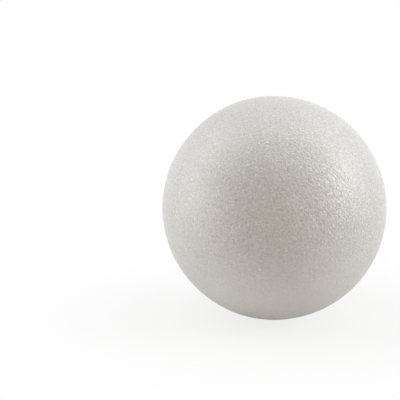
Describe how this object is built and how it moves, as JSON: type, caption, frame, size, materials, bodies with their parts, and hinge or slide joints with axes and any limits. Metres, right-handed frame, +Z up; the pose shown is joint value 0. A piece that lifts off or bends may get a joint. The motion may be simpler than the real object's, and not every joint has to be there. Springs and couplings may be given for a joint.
{
  "type": "polystyrene ball",
  "caption": "Solid round ball of white polystyrene foam with a fine grainy surface, for craft work, models and displays.",
  "frame": {"origin": "centre of the ball", "axes": "+Z up, away from the point that touches the table; a plain ball has no front, so +X and +Y only follow the picture's view, which looks along +Y and a little down"},
  "size_m": [0.1, 0.1, 0.1],
  "materials": {
    "white_foam": "matte"
  },
  "bodies": {
    "root": {"polystyrene_ball": "white_foam"}
  },
  "joints": []
}
